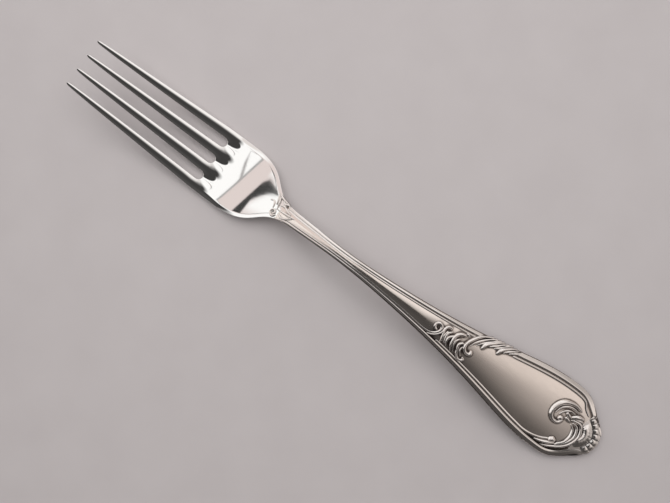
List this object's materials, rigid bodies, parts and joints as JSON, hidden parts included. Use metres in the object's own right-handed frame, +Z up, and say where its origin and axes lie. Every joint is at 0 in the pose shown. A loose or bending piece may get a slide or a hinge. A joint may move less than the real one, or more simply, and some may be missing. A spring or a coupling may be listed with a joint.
{
  "type": "dinner fork",
  "caption": "Silver-coloured dinner fork with tapering tines, a polished root, a slim arched stem and a rococo handle with threaded edges, scrolls and a shell end.",
  "frame": {"origin": "middle of the fork's length and width, on the table that it lies on", "axes": "+X from the tine tips to the end of the handle, +Z up out of the face, +Y to the right of a hand that holds the fork"},
  "size_m": [0.205, 0.0252, 0.0153],
  "materials": {
    "polished_silver": "mirror-polished silver plate with fine use scratches",
    "satin_silver": "satin silver plate, softly worn",
    "ornament_silver": "raised silver ornament, bright on its crests and dark in its hollows"
  },
  "bodies": {
    "root": {"tine_outer_left": "polished_silver", "tine_inner_left": "polished_silver", "tine_inner_right": "polished_silver", "tine_outer_right": "polished_silver", "root": "polished_silver", "stem": "satin_silver", "handle_blade": "satin_silver", "thread_left": "ornament_silver", "thread_right_stem": "ornament_silver", "thread_right_blade": "ornament_silver", "bead_left_stem": "ornament_silver", "bead_left_blade": "ornament_silver", "bead_right_stem": "ornament_silver", "bead_right_blade": "ornament_silver", "neck_palmette": "ornament_silver", "knot_scrolls": "ornament_silver", "edge_sprays": "ornament_silver", "tip_scroll": "ornament_silver", "tip_stem": "ornament_silver", "tip_shell": "ornament_silver"}
  },
  "joints": []
}
